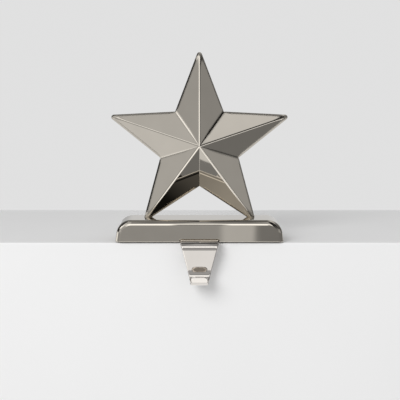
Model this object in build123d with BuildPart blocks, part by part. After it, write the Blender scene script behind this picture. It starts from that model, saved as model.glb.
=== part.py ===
from build123d import *
import os
from math import cos, radians, sin, tan

# Mantel stocking holder: a faceted star on a heavy base, with a bent strip hook. Millimetres.
# +X is to the right, +Y is towards the wall and +Z is up.
# The origin is the middle of the underside, on the shelf that the pad rests on.

# Base casting
base_width = 122.2
base_depth = 40.5
base_height = 15.8
base_end_draft = 8.5
base_corner_radius = 11.0
base_edge_fillet = 4.0
base_foot_chamfer = 0.3

# Soft pad under the base
pad_thickness = 0.7
pad_inset = 2.0
pad_corner_radius = 3.0

# Star casting: radii of the sharp star, before its tips, ridges and rim are rounded
star_point_radius = 71.2
star_inner_radius = 30.3
star_half_depth = 17.5
star_rim_thickness = 1.6
star_tip_radius = 1.9
star_ridge_radius = 1.6
star_rim_fillet = 0.5
star_foot_trim = 4.45
star_setback = 3.4

# Studs under the star's feet, with their washers and nuts
stud_radius = 1.5
stud_past_nut = 1.0
stud_clearance = 0.1
nut_across_flats = 5.5
nut_height = 2.4
nut_thread_clearance = 0.05
washer_radius = 3.5
washer_thickness = 0.5
nut_pocket_radius = 4.3
nut_pocket_depth = 5.5

# Hook strip
hook_width = 27.2
hook_neck_width = 25.0
hook_lip_width = 12.4
hook_thickness = 1.9
hook_tail_length = 15.0
hook_reach = 3.8
hook_bend_radius = 4.1
hook_shoulder_angle = 60.0
hook_lean = 7.0
hook_shank_length = 14.2
hook_sweep_radius = 12.0
hook_sweep_turn = 16.0
hook_curl_radius = 6.0
hook_lip_lean = 6.0
hook_lip_corner_radius = 3.2
hook_side_clearance = 0.5
hook_channel_depth = 1.8
hook_channel_radius = 0.4
hook_channel_break = 0.4

# Countersunk screws through the hook's tail
screw_radius = 2.0
screw_head_radius = 3.4
screw_length = 8.0
screw_clearance = 0.05
screw_spacing = 14.0
screw_from_front = 8.0
screw_tip_room = 0.8
screw_slot_length = 3.4
screw_slot_width = 0.9
screw_slot_depth = 0.9

# Heights and places that follow from the sizes above
base_top = pad_thickness + base_height
base_front = -base_depth / 2
hook_top = pad_thickness + hook_channel_depth
hook_bottom = hook_top - hook_thickness
channel_width = hook_width + 2 * hook_side_clearance
channel_length = hook_tail_length + hook_side_clearance
half_point = radians(36)
star_drop = star_point_radius * cos(half_point) - star_foot_trim
star_centre_height = base_top + star_drop
stud_offset = star_drop * tan(half_point)
stud_places = [(-stud_offset, star_setback), (stud_offset, star_setback)]
pocket_roof = pad_thickness + nut_pocket_depth
washer_bottom = pocket_roof - washer_thickness
nut_bottom = washer_bottom - nut_height
stud_end = nut_bottom - stud_past_nut
screw_row = base_front + screw_from_front
screw_places = [(-screw_spacing / 2, screw_row), (screw_spacing / 2, screw_row)]
screw_head_height = screw_head_radius - screw_radius


def facing_down(place, height):
    """Plane at a place on an underside, with its normal pointing down."""
    return Plane(origin=(*place, height), x_dir=(1, 0, 0), z_dir=(0, 0, -1))


# Base: a drafted bar with round upper end corners, a channel for the hook and pockets for the nuts
with BuildPart() as base:
    end_lean = base_height * tan(radians(base_end_draft))
    with BuildSketch(Plane.XZ) as base_profile:
        with BuildLine():
            Polyline(
                (-base_width / 2, pad_thickness),
                (base_width / 2, pad_thickness),
                (base_width / 2 - end_lean, base_top),
                (end_lean - base_width / 2, base_top),
                close=True,
            )
        make_face()
        fillet(base_profile.vertices().group_by(Axis.Y)[-1], base_corner_radius)
    extrude(amount=base_depth / 2, both=True)
    outline_edges = base.faces().filter_by(Axis.Y).edges()
    foot_edges = base.faces().sort_by(Axis.Z)[0].edges()
    fillet([edge for edge in outline_edges if edge not in foot_edges], base_edge_fillet)
    chamfer(base.faces().sort_by(Axis.Z)[0].edges(), base_foot_chamfer)
    with BuildSketch(Plane.XZ.offset(-base_front)) as channel:
        with Locations((0, pad_thickness)):
            Rectangle(channel_width, hook_channel_depth, align=(Align.CENTER, Align.MIN))
        fillet(channel.vertices().group_by(Axis.Y)[-1], hook_channel_radius)
    extrude(amount=-channel_length, mode=Mode.SUBTRACT)
    mouth_edges = base.edges().filter_by_position(Axis.Y, base_front, base_front)
    mouth_edges = mouth_edges.filter_by_position(Axis.X, -channel_width / 2, channel_width / 2)
    chamfer(mouth_edges.filter_by_position(Axis.Z, pad_thickness, hook_top), hook_channel_break)
    with Locations(*[facing_down(place, hook_top) for place in screw_places]):
        Hole(screw_radius + screw_clearance, screw_length - hook_thickness + screw_tip_room)
    with Locations(*[facing_down(place, pad_thickness) for place in stud_places]):
        CounterBoreHole(stud_radius + stud_clearance, nut_pocket_radius, nut_pocket_depth)

# One point of the star: a roof with a round ridge, from the peak down to the tip of a kite-shaped outline
rim_half = star_rim_thickness / 2
inner_x = star_inner_radius * sin(half_point)
inner_y = star_inner_radius * cos(half_point)
ridge_plane = Plane(
    origin=(0, star_point_radius, rim_half),
    x_dir=(1, 0, 0),
    z_dir=(0, star_point_radius, rim_half - star_half_depth),
)
eave = ridge_plane.to_local_coords(Vector(inner_x, inner_y, rim_half)) * 2
with BuildPart() as star_point:
    with BuildSketch() as point_outline:
        with BuildLine():
            Polyline((0, 0), (inner_x, inner_y), (0, star_point_radius), (-inner_x, inner_y), close=True)
        make_face()
        fillet(point_outline.vertices().sort_by(Axis.Y)[-1], star_tip_radius)
    extrude(amount=star_half_depth)
    with BuildSketch(ridge_plane) as roof:
        with BuildLine():
            Polyline((0, 0), (eave.X, eave.Y), (-eave.X, eave.Y), close=True)
        make_face()
        fillet(roof.vertices().sort_by_distance((0, 0))[0], star_ridge_radius)
    extrude(amount=2 * star_point_radius, both=True, mode=Mode.INTERSECT)
    rim_edges = star_point.edges().filter_by_position(Axis.Z, 0.75 * rim_half, star_rim_thickness)
    fillet(rim_edges, star_rim_fillet)

# Star: five points round the peak, the same on both faces, cut flat at the two lower tips
star_plane = Plane(origin=(0, star_setback, star_centre_height), x_dir=(1, 0, 0), z_dir=(0, -1, 0))
with BuildPart() as star:
    with Locations(star_plane):
        with PolarLocations(0, 5):
            add(star_point.part)
    mirror(about=star_plane)
    split(bisect_by=Plane.XY.offset(base_top), keep=Keep.TOP)
    with BuildSketch(Plane.XY.offset(base_top)) as studs:
        with Locations(*stud_places):
            Circle(stud_radius)
    extrude(amount=stud_end - base_top)

# Nuts and washers that hold the star's studs in the pockets
with BuildPart() as star_washers:
    with BuildSketch(Plane.XY.offset(washer_bottom)):
        with Locations(*stud_places):
            Circle(washer_radius)
            Circle(stud_radius + stud_clearance, mode=Mode.SUBTRACT)
    extrude(amount=washer_thickness)

with BuildPart() as star_nuts:
    with BuildSketch(Plane.XY.offset(nut_bottom)):
        with Locations(*stud_places):
            RegularPolygon(nut_across_flats / 2, 6, major_radius=False)
            Circle(stud_radius + nut_thread_clearance, mode=Mode.SUBTRACT)
    extrude(amount=nut_height)

# Hook: a tapered strip bent over the shelf's edge, which sweeps forward and curls up at its end
bend_start = base_front - hook_reach
tail_end = base_front + hook_tail_length
strip_middle = hook_top - hook_thickness / 2
bend_centre_height = hook_bottom - hook_bend_radius
bend_outer_radius = hook_bend_radius + hook_thickness
with BuildPart() as hook:
    with BuildSketch(Plane.YZ) as side_profile:
        with BuildLine() as strip_path:
            tail = Line((tail_end, strip_middle), (bend_start, strip_middle))
            bend = JernArc(tail @ 1, tail % 1, hook_bend_radius + hook_thickness / 2, 90 + hook_lean)
            shank = Line(bend @ 1, (bend @ 1) + (bend % 1) * hook_shank_length)
            sweep = JernArc(shank @ 1, shank % 1, hook_sweep_radius + hook_thickness / 2, -hook_sweep_turn)
            curl_turn = 180 + hook_lean - hook_sweep_turn - hook_lip_lean
            curl = JernArc(sweep @ 1, sweep % 1, hook_curl_radius + hook_thickness / 2, -curl_turn)
        trace(line_width=hook_thickness)
    extrude(amount=hook_width / 2, both=True)
    curl_centre = curl.arc_center
    curl_plane = Plane.XZ.offset(-curl_centre.X)
    curl_bottom = curl_centre.Y - hook_curl_radius - hook_thickness
    shoulder_height = bend_centre_height + bend_outer_radius * cos(radians(hook_shoulder_angle))
    with BuildSketch(curl_plane) as shank_waste:
        with BuildLine():
            Polyline(
                (hook_width, shoulder_height),
                (hook_width / 2, shoulder_height),
                (hook_neck_width / 2, bend_centre_height),
                (hook_lip_width / 2, curl_bottom),
                (hook_width, curl_bottom),
                close=True,
            )
        make_face()
        mirror(about=Plane.YZ)
    extrude(amount=-2 * hook_width, mode=Mode.SUBTRACT)
    with BuildSketch(curl_plane) as lip_waste:
        with Locations((hook_lip_width / 2, curl_bottom)):
            Rectangle(hook_width, hook_width, align=(Align.MIN, Align.MIN))
        mirror(about=Plane.YZ)
    extrude(amount=2 * hook_width, mode=Mode.SUBTRACT)
    lip_end = hook.faces().sort_by_distance((0, (curl @ 1).X, (curl @ 1).Y))[0]
    fillet(lip_end.edges().sort_by(SortBy.LENGTH)[:2], hook_lip_corner_radius)
    with Locations(*[facing_down(place, hook_bottom) for place in screw_places]):
        CounterSinkHole(
            screw_radius + screw_clearance,
            screw_head_radius + screw_clearance,
            counter_sink_angle=90,
        )

# Countersunk screws, flush with the strip's underside, with crossed slots in their heads
with BuildPart() as hook_screws:
    upright = (Align.CENTER, Align.CENTER, Align.MIN)
    with Locations(*[(*place, hook_bottom) for place in screw_places]):
        Cone(screw_head_radius, screw_radius, screw_head_height, align=upright)
        Cylinder(screw_radius, screw_length, align=upright)
        Box(screw_slot_length, screw_slot_width, screw_slot_depth, align=upright, mode=Mode.SUBTRACT)
        Box(screw_slot_width, screw_slot_length, screw_slot_depth, align=upright, mode=Mode.SUBTRACT)

# Pad: a thin sheet under the base, cut out around the hook's tail
with BuildPart() as non_slip_pad:
    with BuildSketch(Plane.XY) as pad_outline:
        RectangleRounded(base_width - 2 * pad_inset, base_depth - 2 * pad_inset, pad_corner_radius)
        with Locations((0, base_front)):
            Rectangle(channel_width, channel_length, align=(Align.CENTER, Align.MIN), mode=Mode.SUBTRACT)
    extrude(amount=pad_thickness)

os.makedirs("parts", exist_ok=True)
pieces = {
    "base": base,
    "star": star,
    "star_washers": star_washers,
    "star_nuts": star_nuts,
    "hook": hook,
    "hook_screws": hook_screws,
    "non_slip_pad": non_slip_pad,
}
for name, piece in pieces.items():
    piece.part.label = name
    export_step(piece.part, f"parts/{name}.step")
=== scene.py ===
from math import cos, pi, radians, sin

import bmesh
import bpy
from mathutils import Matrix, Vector


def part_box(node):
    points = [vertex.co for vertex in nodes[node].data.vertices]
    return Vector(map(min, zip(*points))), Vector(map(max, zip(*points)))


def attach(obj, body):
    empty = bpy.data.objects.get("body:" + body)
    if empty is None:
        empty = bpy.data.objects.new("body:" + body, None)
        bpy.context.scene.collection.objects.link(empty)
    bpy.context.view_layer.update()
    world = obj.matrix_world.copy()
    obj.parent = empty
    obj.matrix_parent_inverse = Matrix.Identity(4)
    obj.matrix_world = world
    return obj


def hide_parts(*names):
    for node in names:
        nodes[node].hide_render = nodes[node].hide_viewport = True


# Looks of a mantel stocking holder: polished nickel on a pale ledge. Metres and degrees.
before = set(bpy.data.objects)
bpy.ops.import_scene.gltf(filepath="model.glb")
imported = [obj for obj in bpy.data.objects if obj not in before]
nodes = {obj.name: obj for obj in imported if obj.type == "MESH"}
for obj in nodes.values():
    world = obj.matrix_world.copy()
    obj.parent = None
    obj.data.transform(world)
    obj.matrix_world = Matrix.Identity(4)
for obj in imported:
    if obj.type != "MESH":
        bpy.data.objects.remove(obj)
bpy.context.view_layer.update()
scene = bpy.context.scene
scene.view_settings.view_transform = "Standard"

# Camera, at the height of the star's upper point and looking slightly down
camera_place = (0.0004, -1.02425, 0.1285)
camera_pitch = 5.53
camera_lens = 126.0
sensor_width = 36.0

# Ledge that the holder stands on, with the hook hanging in front of its face
ledge_front = -0.0181
ledge_depth = 0.228
ledge_half_width = 1.5
ledge_drop = 0.30
ledge_edge_radius = 0.0012
ledge_edge_segments = 4

# Light: a pale backdrop for the camera, a plain dome for the matt surfaces and one large soft lamp
wall_colour = (0.75, 0.75, 0.75, 1.0)
dome_colour = (0.60, 0.60, 0.60, 1.0)
key_place = (-0.85, -1.75, 0.95)
key_aim = (0.0, 0.0, 0.03)
key_size = 1.15
key_power = 24.0

# Colours
nickel_colour = (0.70, 0.652, 0.578)
hook_colour = (0.82, 0.779, 0.732)
zinc_colour = (0.56, 0.57, 0.58)
foam_colour = (0.022, 0.022, 0.023)
paint_colour = (0.88, 0.88, 0.88)

# Profile of a bevel that is round
round_profile = 0.5

# Range that nearly all of a noise pattern lies in
pattern_range = (0.3, 0.7)

# Nickel plate: a mirror polish with faint clouds, a slow waviness and softened edges
cloud_scale = 60.0
cloud_detail = 3.0
cloud_dark = 0.97
cloud_light = 1.02
polish_roughness = (0.004, 0.012)
wave_scale = 35.0
wave_detail = 1.0
wave_strength = 0.05
wave_height = 0.0004
edge_samples = 16
base_edge_radius = 0.0002
hook_edge_radius = 0.0010

# Edges of the star: crisp ridges, a rounded rim and tips, and valleys that soften away from the peak
star_centre = (0.0, 0.0034, 0.06965)
ridge_radius = 0.0004
rim_radius = 0.0045
rim_depth = 0.0012
ridge_depth = 0.0042
tip_start = 0.060
tip_end = 0.068
tip_rounding = 1.6
point_angle = 72.0
valley_turn = 126.0
valley_radius = 0.0026
valley_half_width = 0.0042
valley_core = 0.5
valley_run = 0.012
valley_at_peak = 0.1

# The lowest valley stays sharp.
# A slope is the sine of a place's angle round the peak, so -1 is straight below the peak.
lowest_valley_radius = 0.0003
lowest_valley_slopes = (-0.75, -0.55)

# Zinc plate of the fasteners
zinc_scale = 900.0
zinc_detail = 4.0
zinc_dark = 0.85
zinc_roughness = (0.28, 0.42)

# Foam of the pad
cell_scale = 1400.0
cell_reach = 0.8
cell_light = 1.8
foam_roughness = (0.95, 0.80)
pit_strength = 0.4
pit_depth = 0.0002

# Paint of the ledge
paint_scale = 9.0
paint_detail = 2.0
paint_dark = 0.985
paint_roughness = 0.6

# Foam pad, as the sheet is cut
pad_corner_radius = 0.003
pad_corner_steps = 6
pad_edge_radius = 0.00012
pad_edge_segments = 3
pad_slot_half_width = 0.0141
pad_slot_end = -0.00475

# Studio round the holder, as the metal mirrors it. Azimuth is from the front towards +X.
# Each panel covers an azimuth range and an elevation range, with soft edges, over those before it.
# A panel's level edges fall by its lean per degree of azimuth, and its elevations are those at azimuth 0.
# Each comment names what mirrors the panels under it.
studio_base = 0.63
studio_panels = [
    # (azimuth range, elevation range, lean, softness, brightness)
    # Rims of the star and ends of the base, which mirror dark sides, and then all that faces the front
    ((-172, -120), (-70, 70), 0.0, 6.0, 0.16),
    ((-126, -76), (-70, 70), 0.0, 3.0, 0.03),
    ((112, 150), (-70, 50), 0.0, 6.0, 0.20),
    ((92, 120), (-70, 50), 0.0, 3.0, 0.06),
    ((-76, 92), (-90, 90), 0.0, 3.0, 0.38),
    # Outer facets of the legs and both facets of the upper point, left and then right
    ((-73, -48), (-10, 13), 0.0, 2.0, 0.53),
    ((-73, -48), (13, 50), 0.0, 2.0, 0.43),
    ((48, 90), (-4, 13), 0.0, 2.0, 0.40),
    ((48, 90), (13, 28), 0.0, 2.0, 0.325),
    # Ridge of the left point, and the bright valley above that point
    ((-52, -8), (5, 46), 0.0, 4.0, 0.85),
    ((-44, -12), (-2, 36), 0.0, 2.0, 0.48),
    ((-52, -40), (38, 56), 0.0, 3.0, 1.05),
    # Lower facet of the left point and inner facet of the right leg, straight or by way of the base's top
    ((-75, -46), (55.0, 70), 0.0, 1.0, 0.52),
    ((-75, -22), (-140, -48.5), 0.75, 2.0, 0.235),
    ((-75, -22), (-94.65, -48.5), 0.75, 0.05, 0.75),
    ((-75, -22), (-93.3, -48.5), 0.75, 0.3, 0.71),
    # Lower facet of the right point and inner facet of the left leg
    ((24, 92), (-90, -8), 0.0, 4.0, 0.20),
    # Upper facets of the side points, the dark valley above the right one, and the left leg's inner facet
    ((-40, 0), (55, 90), 0.0, 4.0, 0.585),
    ((0, 22), (55, 90), 0.0, 4.0, 0.735),
    ((17, 80), (21.5, 74), 0.0, 1.5, 0.01),
    ((48, 64), (47, 55.15), 0.0, 0.8, 0.12),
    # Upper edge of the base and top of the hook's bend, which mirror what is overhead and high behind
    ((-200, 200), (76, 100), 0.0, 2.0, 0.16),
    ((-200, -166), (45, 88), 0.0, 3.0, 0.10),
    ((166, 200), (45, 88), 0.0, 3.0, 0.10),
    ((-200, -120), (73, 86), 0.0, 2.0, 0.40),
    ((120, 200), (73, 86), 0.0, 2.0, 0.22),
    ((-14, 14), (70, 88), 0.0, 1.0, 0.04),
    # Front of the base: grey on the left, dark on the right, with a lighter stretch between
    ((-20, 0.9), (-17, 3), 0.0, 0.5, 0.36),
    ((2.35, 40), (-20, 6), 0.0, 0.3, 0.22),
    ((38, 110), (-20, 4.5), 0.0, 1.5, 0.20),
    ((4.0, 45), (6, 34), 0.0, 1.0, 0.18),
    ((0.9, 2.25), (-16, 2), 0.0, 0.2, 0.55),
    # Shank and lip of the hook
    ((-24, 24), (-100, -18), 0.0, 2.0, 0.865),
    ((-24, 24), (-170, -30), 0.0, 3.0, 1.055),
    # Ridge of the left leg, the valleys above both legs, and the ridges of the side points
    ((-24, -5), (-48, -17), 0.0, 2.0, 1.5),
    ((-80, -55), (-33, -8), 0.0, 2.0, 1.0),
    ((45, 75), (-36, -12), 0.0, 2.0, 0.06),
    ((-31, -22), (-27, -14), 0.0, 2.0, 1.2),
    ((28, 42), (-27, -11), 0.0, 2.0, 1.3),
    # Rounded edge of the base and bend of the hook, above their bright lines
    ((-6, 6), (44, 75), 0.0, 1.0, 0.28),
    ((-0.9, 0.9), (44, 75), 0.0, 0.15, 0.40),
    # Right upper corner of the base
    ((16, 38), (14, 34), 0.0, 2.0, 0.03),
    ((48, 92), (21, 29), 0.0, 1.0, 0.06),
    # Bright lines of the base's edge and the hook's bend, and the line round the base's left upper corner
    ((-12, 4), (7, 34), 0.0, 1.5, 1.5),
    ((-1.1, 1.1), (20, 38), 0.0, 0.3, 1.3),
    ((-1.1, 1.1), (4, 22), 0.0, 0.3, 0.33),
    ((-30, -10), (22, 37), 0.0, 2.0, 1.3),
    ((-58, -38), (26, 42), 0.0, 2.0, 1.3),
    ((-84, -56), (22, 36), 0.0, 1.0, 1.3),
    ((-37, -28), (5, 58), 0.0, 1.0, 0.36),
    ((4, 16), (12, 32), 0.0, 1.5, 1.3),
    # Left end of the base
    ((-80, -38), (-7, 4), 0.0, 1.0, 0.33),
    ((-122, -82), (-4, 6.5), 0.0, 0.7, 1.1),
]


def connect(tree, value, socket):
    """Links an output socket to an input, or sets the input to a plain value."""
    if isinstance(value, bpy.types.NodeSocket):
        tree.links.new(value, socket)
    else:
        socket.default_value = value


def new_node(tree, kind, **sockets):
    """Node of a kind, with its named input sockets set to a value or linked to a socket."""
    made = tree.nodes.new(kind)
    for name, value in sockets.items():
        connect(tree, value, made.inputs[name])
    return made


def calculate(tree, operation, first, second=0.0):
    """Output of a math node."""
    made = tree.nodes.new("ShaderNodeMath")
    made.operation = operation
    connect(tree, first, made.inputs[0])
    connect(tree, second, made.inputs[1])
    return made.outputs[0]


def spread(tree, value, low, high, start=0.0, end=1.0, smooth=False):
    """Maps a value from one range to another, held at the ends."""
    made = tree.nodes.new("ShaderNodeMapRange")
    made.interpolation_type = "SMOOTHSTEP" if smooth else "LINEAR"
    connect(tree, value, made.inputs["Value"])
    made.inputs["From Min"].default_value = low
    made.inputs["From Max"].default_value = high
    made.inputs["To Min"].default_value = start
    made.inputs["To Max"].default_value = end
    return made.outputs["Result"]


def soft_range(tree, value, limits, softness):
    """1 inside a range, fading to 0 across its soft ends."""
    low, high = limits
    rise = spread(tree, value, low - softness, low + softness, smooth=True)
    fall = spread(tree, value, high - softness, high + softness, 1.0, 0.0, smooth=True)
    return calculate(tree, "MULTIPLY", rise, fall)


def blend_values(tree, factor, first, second):
    """Mix of two values."""
    made = tree.nodes.new("ShaderNodeMix")
    made.data_type = "FLOAT"
    connect(tree, factor, made.inputs[0])
    connect(tree, first, made.inputs[2])
    connect(tree, second, made.inputs[3])
    return made.outputs[0]


def blend_colours(tree, factor, first, second):
    """Mix of two colours."""
    made = tree.nodes.new("ShaderNodeMix")
    made.data_type = "RGBA"
    connect(tree, factor, made.inputs[0])
    connect(tree, first, made.inputs[6])
    connect(tree, second, made.inputs[7])
    return made.outputs[2]


def studio_level(tree):
    """Brightness of the studio in the direction of a ray, panel over panel."""
    direction = tree.nodes.new("ShaderNodeTexCoord").outputs["Generated"]
    parts = new_node(tree, "ShaderNodeSeparateXYZ", Vector=direction).outputs
    forwards = calculate(tree, "MULTIPLY", parts["Y"], -1.0)
    turn = calculate(tree, "ARCTAN2", parts["X"], forwards)
    azimuth = calculate(tree, "MULTIPLY", turn, 180 / pi)
    lift = calculate(tree, "ARCSINE", parts["Z"])
    elevation = calculate(tree, "MULTIPLY", lift, 180 / pi)
    level = studio_base
    for azimuths, elevations, lean, softness, brightness in studio_panels:
        across = soft_range(tree, azimuth, azimuths, softness)
        tilt = calculate(tree, "MULTIPLY", azimuth, lean)
        upward = soft_range(tree, calculate(tree, "ADD", elevation, tilt), elevations, softness)
        mask = calculate(tree, "MULTIPLY", across, upward)
        level = blend_values(tree, mask, level, brightness)
    return level


def build_world():
    """World that shows the metal the studio, the camera a pale backdrop and the ledge a plain dome."""
    world = bpy.data.worlds.new("studio")
    world.use_nodes = True
    scene.world = world
    tree = world.node_tree
    tree.nodes.clear()
    rays = tree.nodes.new("ShaderNodeLightPath").outputs
    plain = blend_colours(tree, rays["Is Camera Ray"], dome_colour, wall_colour)
    shown = blend_colours(tree, rays["Is Glossy Ray"], plain, studio_level(tree))
    studio = new_node(tree, "ShaderNodeBackground", Color=shown)
    output = tree.nodes.new("ShaderNodeOutputWorld")
    tree.links.new(studio.outputs[0], output.inputs["Surface"])


def new_material(name):
    """Node material with a shader only, the tree that it is in and the shader."""
    material = bpy.data.materials.new(name)
    material.use_nodes = True
    tree = material.node_tree
    tree.nodes.clear()
    shader = tree.nodes.new("ShaderNodeBsdfPrincipled")
    output = tree.nodes.new("ShaderNodeOutputMaterial")
    tree.links.new(shader.outputs[0], output.inputs["Surface"])
    return material, tree, shader


def noise(tree, scale, detail):
    """Noise over the object's own space, about 0.5 in the middle."""
    place = tree.nodes.new("ShaderNodeTexCoord").outputs["Object"]
    made = new_node(tree, "ShaderNodeTexNoise", Vector=place, Scale=scale, Detail=detail)
    return made.outputs["Fac"]


def shade(colour, share):
    """Colour made darker or lighter by a share."""
    return [share * part for part in colour]


def tint(tree, value, dark, light):
    """Colour between two tones, by the value of a pattern."""
    ramp = tree.nodes.new("ShaderNodeValToRGB")
    for stop, position, tone in zip(ramp.color_ramp.elements, pattern_range, (dark, light)):
        stop.position = position
        stop.color = (*tone, 1.0)
    tree.links.new(value, ramp.inputs[0])
    return ramp.outputs["Color"]


def star_softness(tree):
    """Edge radius over the star, by how far a point lies from the peak, the rim and the valley lines."""
    place = tree.nodes.new("ShaderNodeTexCoord").outputs["Object"]
    parts = new_node(tree, "ShaderNodeSeparateXYZ", Vector=place).outputs
    across = calculate(tree, "SUBTRACT", parts["X"], star_centre[0])
    depth = calculate(tree, "ABSOLUTE", calculate(tree, "SUBTRACT", parts["Y"], star_centre[1]))
    upward = calculate(tree, "SUBTRACT", parts["Z"], star_centre[2])
    across_square = calculate(tree, "POWER", across, 2.0)
    upward_square = calculate(tree, "POWER", upward, 2.0)
    radius = calculate(tree, "SQRT", calculate(tree, "ADD", across_square, upward_square))
    slope = calculate(tree, "DIVIDE", upward, radius)
    angle = calculate(tree, "ARCTAN2", upward, across)
    turn = calculate(tree, "SUBTRACT", angle, radians(valley_turn))
    nearest = calculate(tree, "PINGPONG", turn, radians(point_angle / 2))
    distance = calculate(tree, "MULTIPLY", radius, calculate(tree, "SINE", nearest))
    full = spread(tree, slope, *lowest_valley_slopes, lowest_valley_radius, valley_radius)
    growth = spread(tree, radius, 0.0, valley_run, valley_at_peak, 1.0)
    valley = calculate(tree, "MULTIPLY", full, growth)
    rim = spread(tree, depth, rim_depth, ridge_depth, rim_radius, ridge_radius)
    tip = spread(tree, radius, tip_start, tip_end, 1.0, tip_rounding)
    edge = calculate(tree, "MULTIPLY", rim, tip)
    outside = spread(tree, distance, valley_core * valley_half_width, valley_half_width)
    return blend_values(tree, outside, valley, edge)


def polished_nickel(name, colour, rounding):
    """Mirror-polished nickel plate. Its edges are softened by a radius, or by a function that gives one."""
    material, tree, shader = new_material(name)
    shader.inputs["Metallic"].default_value = 1.0
    clouds = noise(tree, cloud_scale, cloud_detail)
    tones = tint(tree, clouds, shade(colour, cloud_dark), shade(colour, cloud_light))
    tree.links.new(tones, shader.inputs["Base Color"])
    roughness = spread(tree, clouds, *pattern_range, *polish_roughness)
    tree.links.new(roughness, shader.inputs["Roughness"])
    edges = tree.nodes.new("ShaderNodeBevel")
    edges.samples = edge_samples
    radius = rounding(tree) if callable(rounding) else rounding
    connect(tree, radius, edges.inputs["Radius"])
    waves = new_node(tree, "ShaderNodeBump", Strength=wave_strength, Distance=wave_height)
    tree.links.new(noise(tree, wave_scale, wave_detail), waves.inputs["Height"])
    tree.links.new(edges.outputs["Normal"], waves.inputs["Normal"])
    tree.links.new(waves.outputs["Normal"], shader.inputs["Normal"])
    return material


def zinc_steel():
    """Zinc-plated steel of the fasteners, dull and slightly mottled."""
    material, tree, shader = new_material("zinc_steel")
    shader.inputs["Metallic"].default_value = 1.0
    mottle = noise(tree, zinc_scale, zinc_detail)
    tones = tint(tree, mottle, shade(zinc_colour, zinc_dark), zinc_colour)
    tree.links.new(tones, shader.inputs["Base Color"])
    roughness = spread(tree, mottle, *pattern_range, *zinc_roughness)
    tree.links.new(roughness, shader.inputs["Roughness"])
    return material


def foam():
    """Closed-cell foam of the pad, matt and finely pitted."""
    material, tree, shader = new_material("pad_foam")
    place = tree.nodes.new("ShaderNodeTexCoord").outputs["Object"]
    cells = new_node(tree, "ShaderNodeTexVoronoi", Vector=place, Scale=cell_scale).outputs["Distance"]
    tones = tint(tree, cells, foam_colour, shade(foam_colour, cell_light))
    tree.links.new(tones, shader.inputs["Base Color"])
    roughness = spread(tree, cells, 0.0, cell_reach, *foam_roughness)
    tree.links.new(roughness, shader.inputs["Roughness"])
    pits = new_node(tree, "ShaderNodeBump", Height=cells, Strength=pit_strength, Distance=pit_depth)
    tree.links.new(pits.outputs["Normal"], shader.inputs["Normal"])
    return material


def ledge_paint():
    """Satin white paint of the ledge, with a faint unevenness."""
    material, tree, shader = new_material("ledge_paint")
    patches = noise(tree, paint_scale, paint_detail)
    tones = tint(tree, patches, shade(paint_colour, paint_dark), paint_colour)
    tree.links.new(tones, shader.inputs["Base Color"])
    shader.inputs["Roughness"].default_value = paint_roughness
    return material


def dress(obj, material):
    """Gives an object one material."""
    obj.data.materials.clear()
    obj.data.materials.append(material)


def new_object(name, shape):
    """Object from a bmesh, linked to the scene."""
    mesh = bpy.data.meshes.new(name)
    shape.to_mesh(mesh)
    shape.free()
    made = bpy.data.objects.new(name, mesh)
    scene.collection.objects.link(made)
    return made


def round_edges(shape, edges, radius, segments):
    """Rounds some edges of a bmesh."""
    bmesh.ops.bevel(
        shape,
        geom=edges,
        offset=radius,
        segments=segments,
        affect="EDGES",
        profile=round_profile,
    )


def build_ledge():
    """Long pale ledge with softly rounded upper edges."""
    shape = bmesh.new()
    bmesh.ops.create_cube(shape, size=1.0)
    size = Vector((2 * ledge_half_width, ledge_depth, ledge_drop))
    middle = Vector((0.0, ledge_front + ledge_depth / 2, -ledge_drop / 2))
    bmesh.ops.scale(shape, vec=size, verts=shape.verts)
    bmesh.ops.translate(shape, vec=middle, verts=shape.verts)
    upper_edges = [edge for edge in shape.edges if all(vert.co.z > middle.z for vert in edge.verts)]
    round_edges(shape, upper_edges, ledge_edge_radius, ledge_edge_segments)
    ledge = new_object("ledge", shape)
    dress(ledge, ledge_paint())


def corner_arc(centre, start):
    """Points round a quarter of a circle at a corner of the pad, from a start angle."""
    angles = [radians(start + 90 * step / pad_corner_steps) for step in range(pad_corner_steps + 1)]
    return [centre + pad_corner_radius * Vector((cos(angle), sin(angle), 0.0)) for angle in angles]


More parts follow.
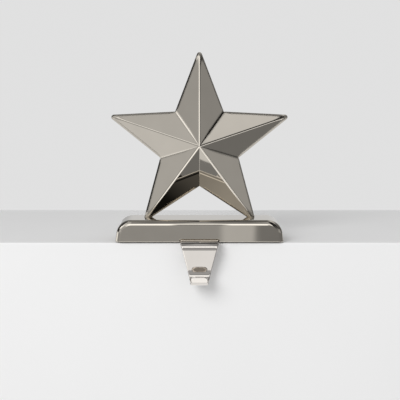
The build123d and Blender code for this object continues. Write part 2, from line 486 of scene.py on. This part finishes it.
def build_pad():
    """Die-cut foam sheet under the base, with softened edges and a slot round the hook's tail."""
    low, high = [Vector(corner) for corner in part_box("non_slip_pad")]
    left = low.x + pad_corner_radius
    right = high.x - pad_corner_radius
    front = low.y + pad_corner_radius
    back = high.y - pad_corner_radius
    outline = [Vector((pad_slot_half_width, low.y, 0.0))]
    outline += corner_arc(Vector((right, front, 0.0)), -90)
    outline += corner_arc(Vector((right, back, 0.0)), 0)
    outline += corner_arc(Vector((left, back, 0.0)), 90)
    outline += corner_arc(Vector((left, front, 0.0)), 180)
    outline.append(Vector((-pad_slot_half_width, low.y, 0.0)))
    outline.append(Vector((-pad_slot_half_width, pad_slot_end, 0.0)))
    outline.append(Vector((pad_slot_half_width, pad_slot_end, 0.0)))
    shape = bmesh.new()
    sheet = shape.faces.new([shape.verts.new(point) for point in outline])
    lifted = bmesh.ops.extrude_face_region(shape, geom=[sheet])["geom"]
    lifted_verts = [item for item in lifted if isinstance(item, bmesh.types.BMVert)]
    bmesh.ops.translate(shape, vec=(0.0, 0.0, high.z), verts=lifted_verts)
    bmesh.ops.recalc_face_normals(shape, faces=shape.faces)
    level_edges = [edge for edge in shape.edges if edge.verts[0].co.z == edge.verts[1].co.z]
    round_edges(shape, level_edges, pad_edge_radius, pad_edge_segments)
    pad = new_object("foam_pad", shape)
    dress(pad, foam())
    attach(pad, "root")
    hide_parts("non_slip_pad")


def build_camera():
    """Camera in front of the holder."""
    data = bpy.data.cameras.new("camera")
    data.lens = camera_lens
    data.sensor_width = sensor_width
    camera = bpy.data.objects.new("camera", data)
    camera.location = camera_place
    camera.rotation_euler = (radians(90 - camera_pitch), 0.0, 0.0)
    scene.collection.objects.link(camera)
    scene.camera = camera


def build_key_light():
    """Large soft lamp at the upper left, which gives the shadows and which the metal does not mirror."""
    data = bpy.data.lights.new("key", "AREA")
    data.shape = "DISK"
    data.size = key_size
    data.energy = key_power
    key = bpy.data.objects.new("key", data)
    key.location = key_place
    aim = Vector(key_aim) - Vector(key_place)
    key.rotation_euler = aim.to_track_quat("-Z", "Y").to_euler()
    key.visible_glossy = False
    scene.collection.objects.link(key)


build_camera()
build_world()
build_key_light()
build_ledge()
build_pad()

# Materials of the metal pieces
dress(nodes["base"], polished_nickel("base_nickel", nickel_colour, base_edge_radius))
dress(nodes["star"], polished_nickel("star_nickel", nickel_colour, star_softness))
dress(nodes["hook"], polished_nickel("hook_nickel", hook_colour, hook_edge_radius))
zinc = zinc_steel()
for name in ("hook_screws", "star_nuts", "star_washers"):
    dress(nodes[name], zinc)
